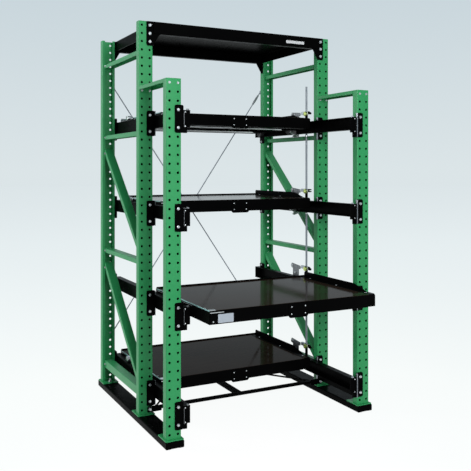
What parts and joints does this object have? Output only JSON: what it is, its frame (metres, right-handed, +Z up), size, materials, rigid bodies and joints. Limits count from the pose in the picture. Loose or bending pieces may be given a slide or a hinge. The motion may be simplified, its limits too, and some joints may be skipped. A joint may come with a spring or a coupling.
{
  "type": "sliding storage rack",
  "caption": "Heavy sliding storage rack: perforated posts, fixed top, roll-out shelves on rails and a side interlock, one shelf drawn out",
  "frame": {"origin": "on the floor, under the centre of the whole rack's box with the third shelf drawn out", "axes": "+Z up, the rack's front faces -Y, +X to the right as seen from the front"},
  "size_m": [1.41, 1.544, 2.4463],
  "materials": {
    "green_paint": "semi-gloss green powder coat",
    "black_paint": "satin black powder coat",
    "deck_paint": "glossy dark brown-grey sheet",
    "zinc": "bright zinc plate",
    "nylon": "dark nylon wheels on a steel axle"
  },
  "bodies": {
    "frame": {"post_front_left": "green_paint", "post_front_right": "green_paint", "post_middle_left": "green_paint", "post_middle_right": "green_paint", "post_rear_left": "green_paint", "post_rear_right": "green_paint", "base_left": "black_paint", "base_right": "black_paint", "brace_level_1_left": "green_paint", "brace_level_1_right": "green_paint", "brace_level_2_left": "green_paint", "brace_level_2_right": "green_paint", "brace_level_3_left": "green_paint", "brace_level_3_right": "green_paint", "brace_level_4_left": "green_paint", "brace_level_4_right": "green_paint", "brace_diagonal_upper_left": "green_paint", "brace_diagonal_upper_right": "green_paint", "brace_diagonal_lower_left": "green_paint", "brace_diagonal_lower_right": "green_paint", "top_tie_left": "green_paint", "top_tie_right": "green_paint", "top_front_beam": "black_paint", "top_rear_beam": "black_paint", "top_panel": "black_paint", "rail_1_left": "black_paint", "rail_1_right": "black_paint", "rail_2_left": "black_paint", "rail_2_right": "black_paint", "rail_3_left": "black_paint", "rail_3_right": "black_paint", "rail_4_left": "black_paint", "rail_4_right": "black_paint", "low_tie_front": "black_paint", "low_tie_rear": "black_paint", "back_rod_first": "black_paint", "back_rod_second": "black_paint"},
    "shelf_1": {"shelf_1_frame": "black_paint", "shelf_1_deck": "deck_paint"},
    "shelf_2": {"shelf_2_frame": "black_paint", "shelf_2_deck": "deck_paint"},
    "shelf_3": {"shelf_3_frame": "black_paint", "shelf_3_deck": "deck_paint"},
    "shelf_4": {"shelf_4_frame": "black_paint", "shelf_4_deck": "deck_paint"},
    "wheelset_1_front": {"shelf_1_wheels_front": "nylon"},
    "wheelset_1_rear": {"shelf_1_wheels_rear": "nylon"},
    "wheelset_2_front": {"shelf_2_wheels_front": "nylon"},
    "wheelset_2_rear": {"shelf_2_wheels_rear": "nylon"},
    "wheelset_3_front": {"shelf_3_wheels_front": "nylon"},
    "wheelset_3_rear": {"shelf_3_wheels_rear": "nylon"},
    "wheelset_4_front": {"shelf_4_wheels_front": "nylon"},
    "wheelset_4_rear": {"shelf_4_wheels_rear": "nylon"},
    "interlock": {"interlock_rod": "zinc", "interlock_arm_1": "zinc", "interlock_arm_2": "zinc", "interlock_arm_3": "zinc", "interlock_arm_4": "zinc"}
  },
  "joints": [
    {"name": "shelf_1_slide", "type": "slide", "parent": "frame", "child": "shelf_1", "axis": [0, -1, 0], "range_m": [0, 0.707]},
    {"name": "shelf_2_slide", "type": "slide", "parent": "frame", "child": "shelf_2", "axis": [0, -1, 0], "range_m": [0, 0.707]},
    {"name": "shelf_3_slide", "type": "slide", "parent": "frame", "child": "shelf_3", "axis": [0, -1, 0], "range_m": [-0.707, 0]},
    {"name": "shelf_4_slide", "type": "slide", "parent": "frame", "child": "shelf_4", "axis": [0, -1, 0], "range_m": [0, 0.707]},
    {"name": "wheels_1_front_turn", "type": "hinge", "parent": "shelf_1", "child": "wheelset_1_front", "pos_m": [0, 0.2512, 1.8301], "axis": [1, 0, 0], "continuous": true},
    {"name": "wheels_1_rear_turn", "type": "hinge", "parent": "shelf_1", "child": "wheelset_1_rear", "pos_m": [0, 0.6835, 1.8301], "axis": [1, 0, 0], "continuous": true},
    {"name": "wheels_2_front_turn", "type": "hinge", "parent": "shelf_2", "child": "wheelset_2_front", "pos_m": [0, 0.2512, 1.2801], "axis": [1, 0, 0], "continuous": true},
    {"name": "wheels_2_rear_turn", "type": "hinge", "parent": "shelf_2", "child": "wheelset_2_rear", "pos_m": [0, 0.6835, 1.2801], "axis": [1, 0, 0], "continuous": true},
    {"name": "wheels_3_front_turn", "type": "hinge", "parent": "shelf_3", "child": "wheelset_3_front", "pos_m": [0, -0.4558, 0.7301], "axis": [1, 0, 0], "continuous": true},
    {"name": "wheels_3_rear_turn", "type": "hinge", "parent": "shelf_3", "child": "wheelset_3_rear", "pos_m": [0, -0.0235, 0.7301], "axis": [1, 0, 0], "continuous": true},
    {"name": "wheels_4_front_turn", "type": "hinge", "parent": "shelf_4", "child": "wheelset_4_front", "pos_m": [0, 0.2512, 0.1801], "axis": [1, 0, 0], "continuous": true},
    {"name": "wheels_4_rear_turn", "type": "hinge", "parent": "shelf_4", "child": "wheelset_4_rear", "pos_m": [0, 0.6835, 0.1801], "axis": [1, 0, 0], "continuous": true},
    {"name": "interlock_lift", "type": "slide", "parent": "frame", "child": "interlock", "axis": [0, 0, 1], "range_m": [0, 0.02]}
  ],
  "couplings": [
    {"joint": "wheels_1_front_turn", "follows": "shelf_1_slide", "rad_per_m": 27.397},
    {"joint": "wheels_1_rear_turn", "follows": "shelf_1_slide", "rad_per_m": 27.397},
    {"joint": "wheels_2_front_turn", "follows": "shelf_2_slide", "rad_per_m": 27.397},
    {"joint": "wheels_2_rear_turn", "follows": "shelf_2_slide", "rad_per_m": 27.397},
    {"joint": "wheels_3_front_turn", "follows": "shelf_3_slide", "rad_per_m": 27.397},
    {"joint": "wheels_3_rear_turn", "follows": "shelf_3_slide", "rad_per_m": 27.397},
    {"joint": "wheels_4_front_turn", "follows": "shelf_4_slide", "rad_per_m": 27.397},
    {"joint": "wheels_4_rear_turn", "follows": "shelf_4_slide", "rad_per_m": 27.397}
  ]
}
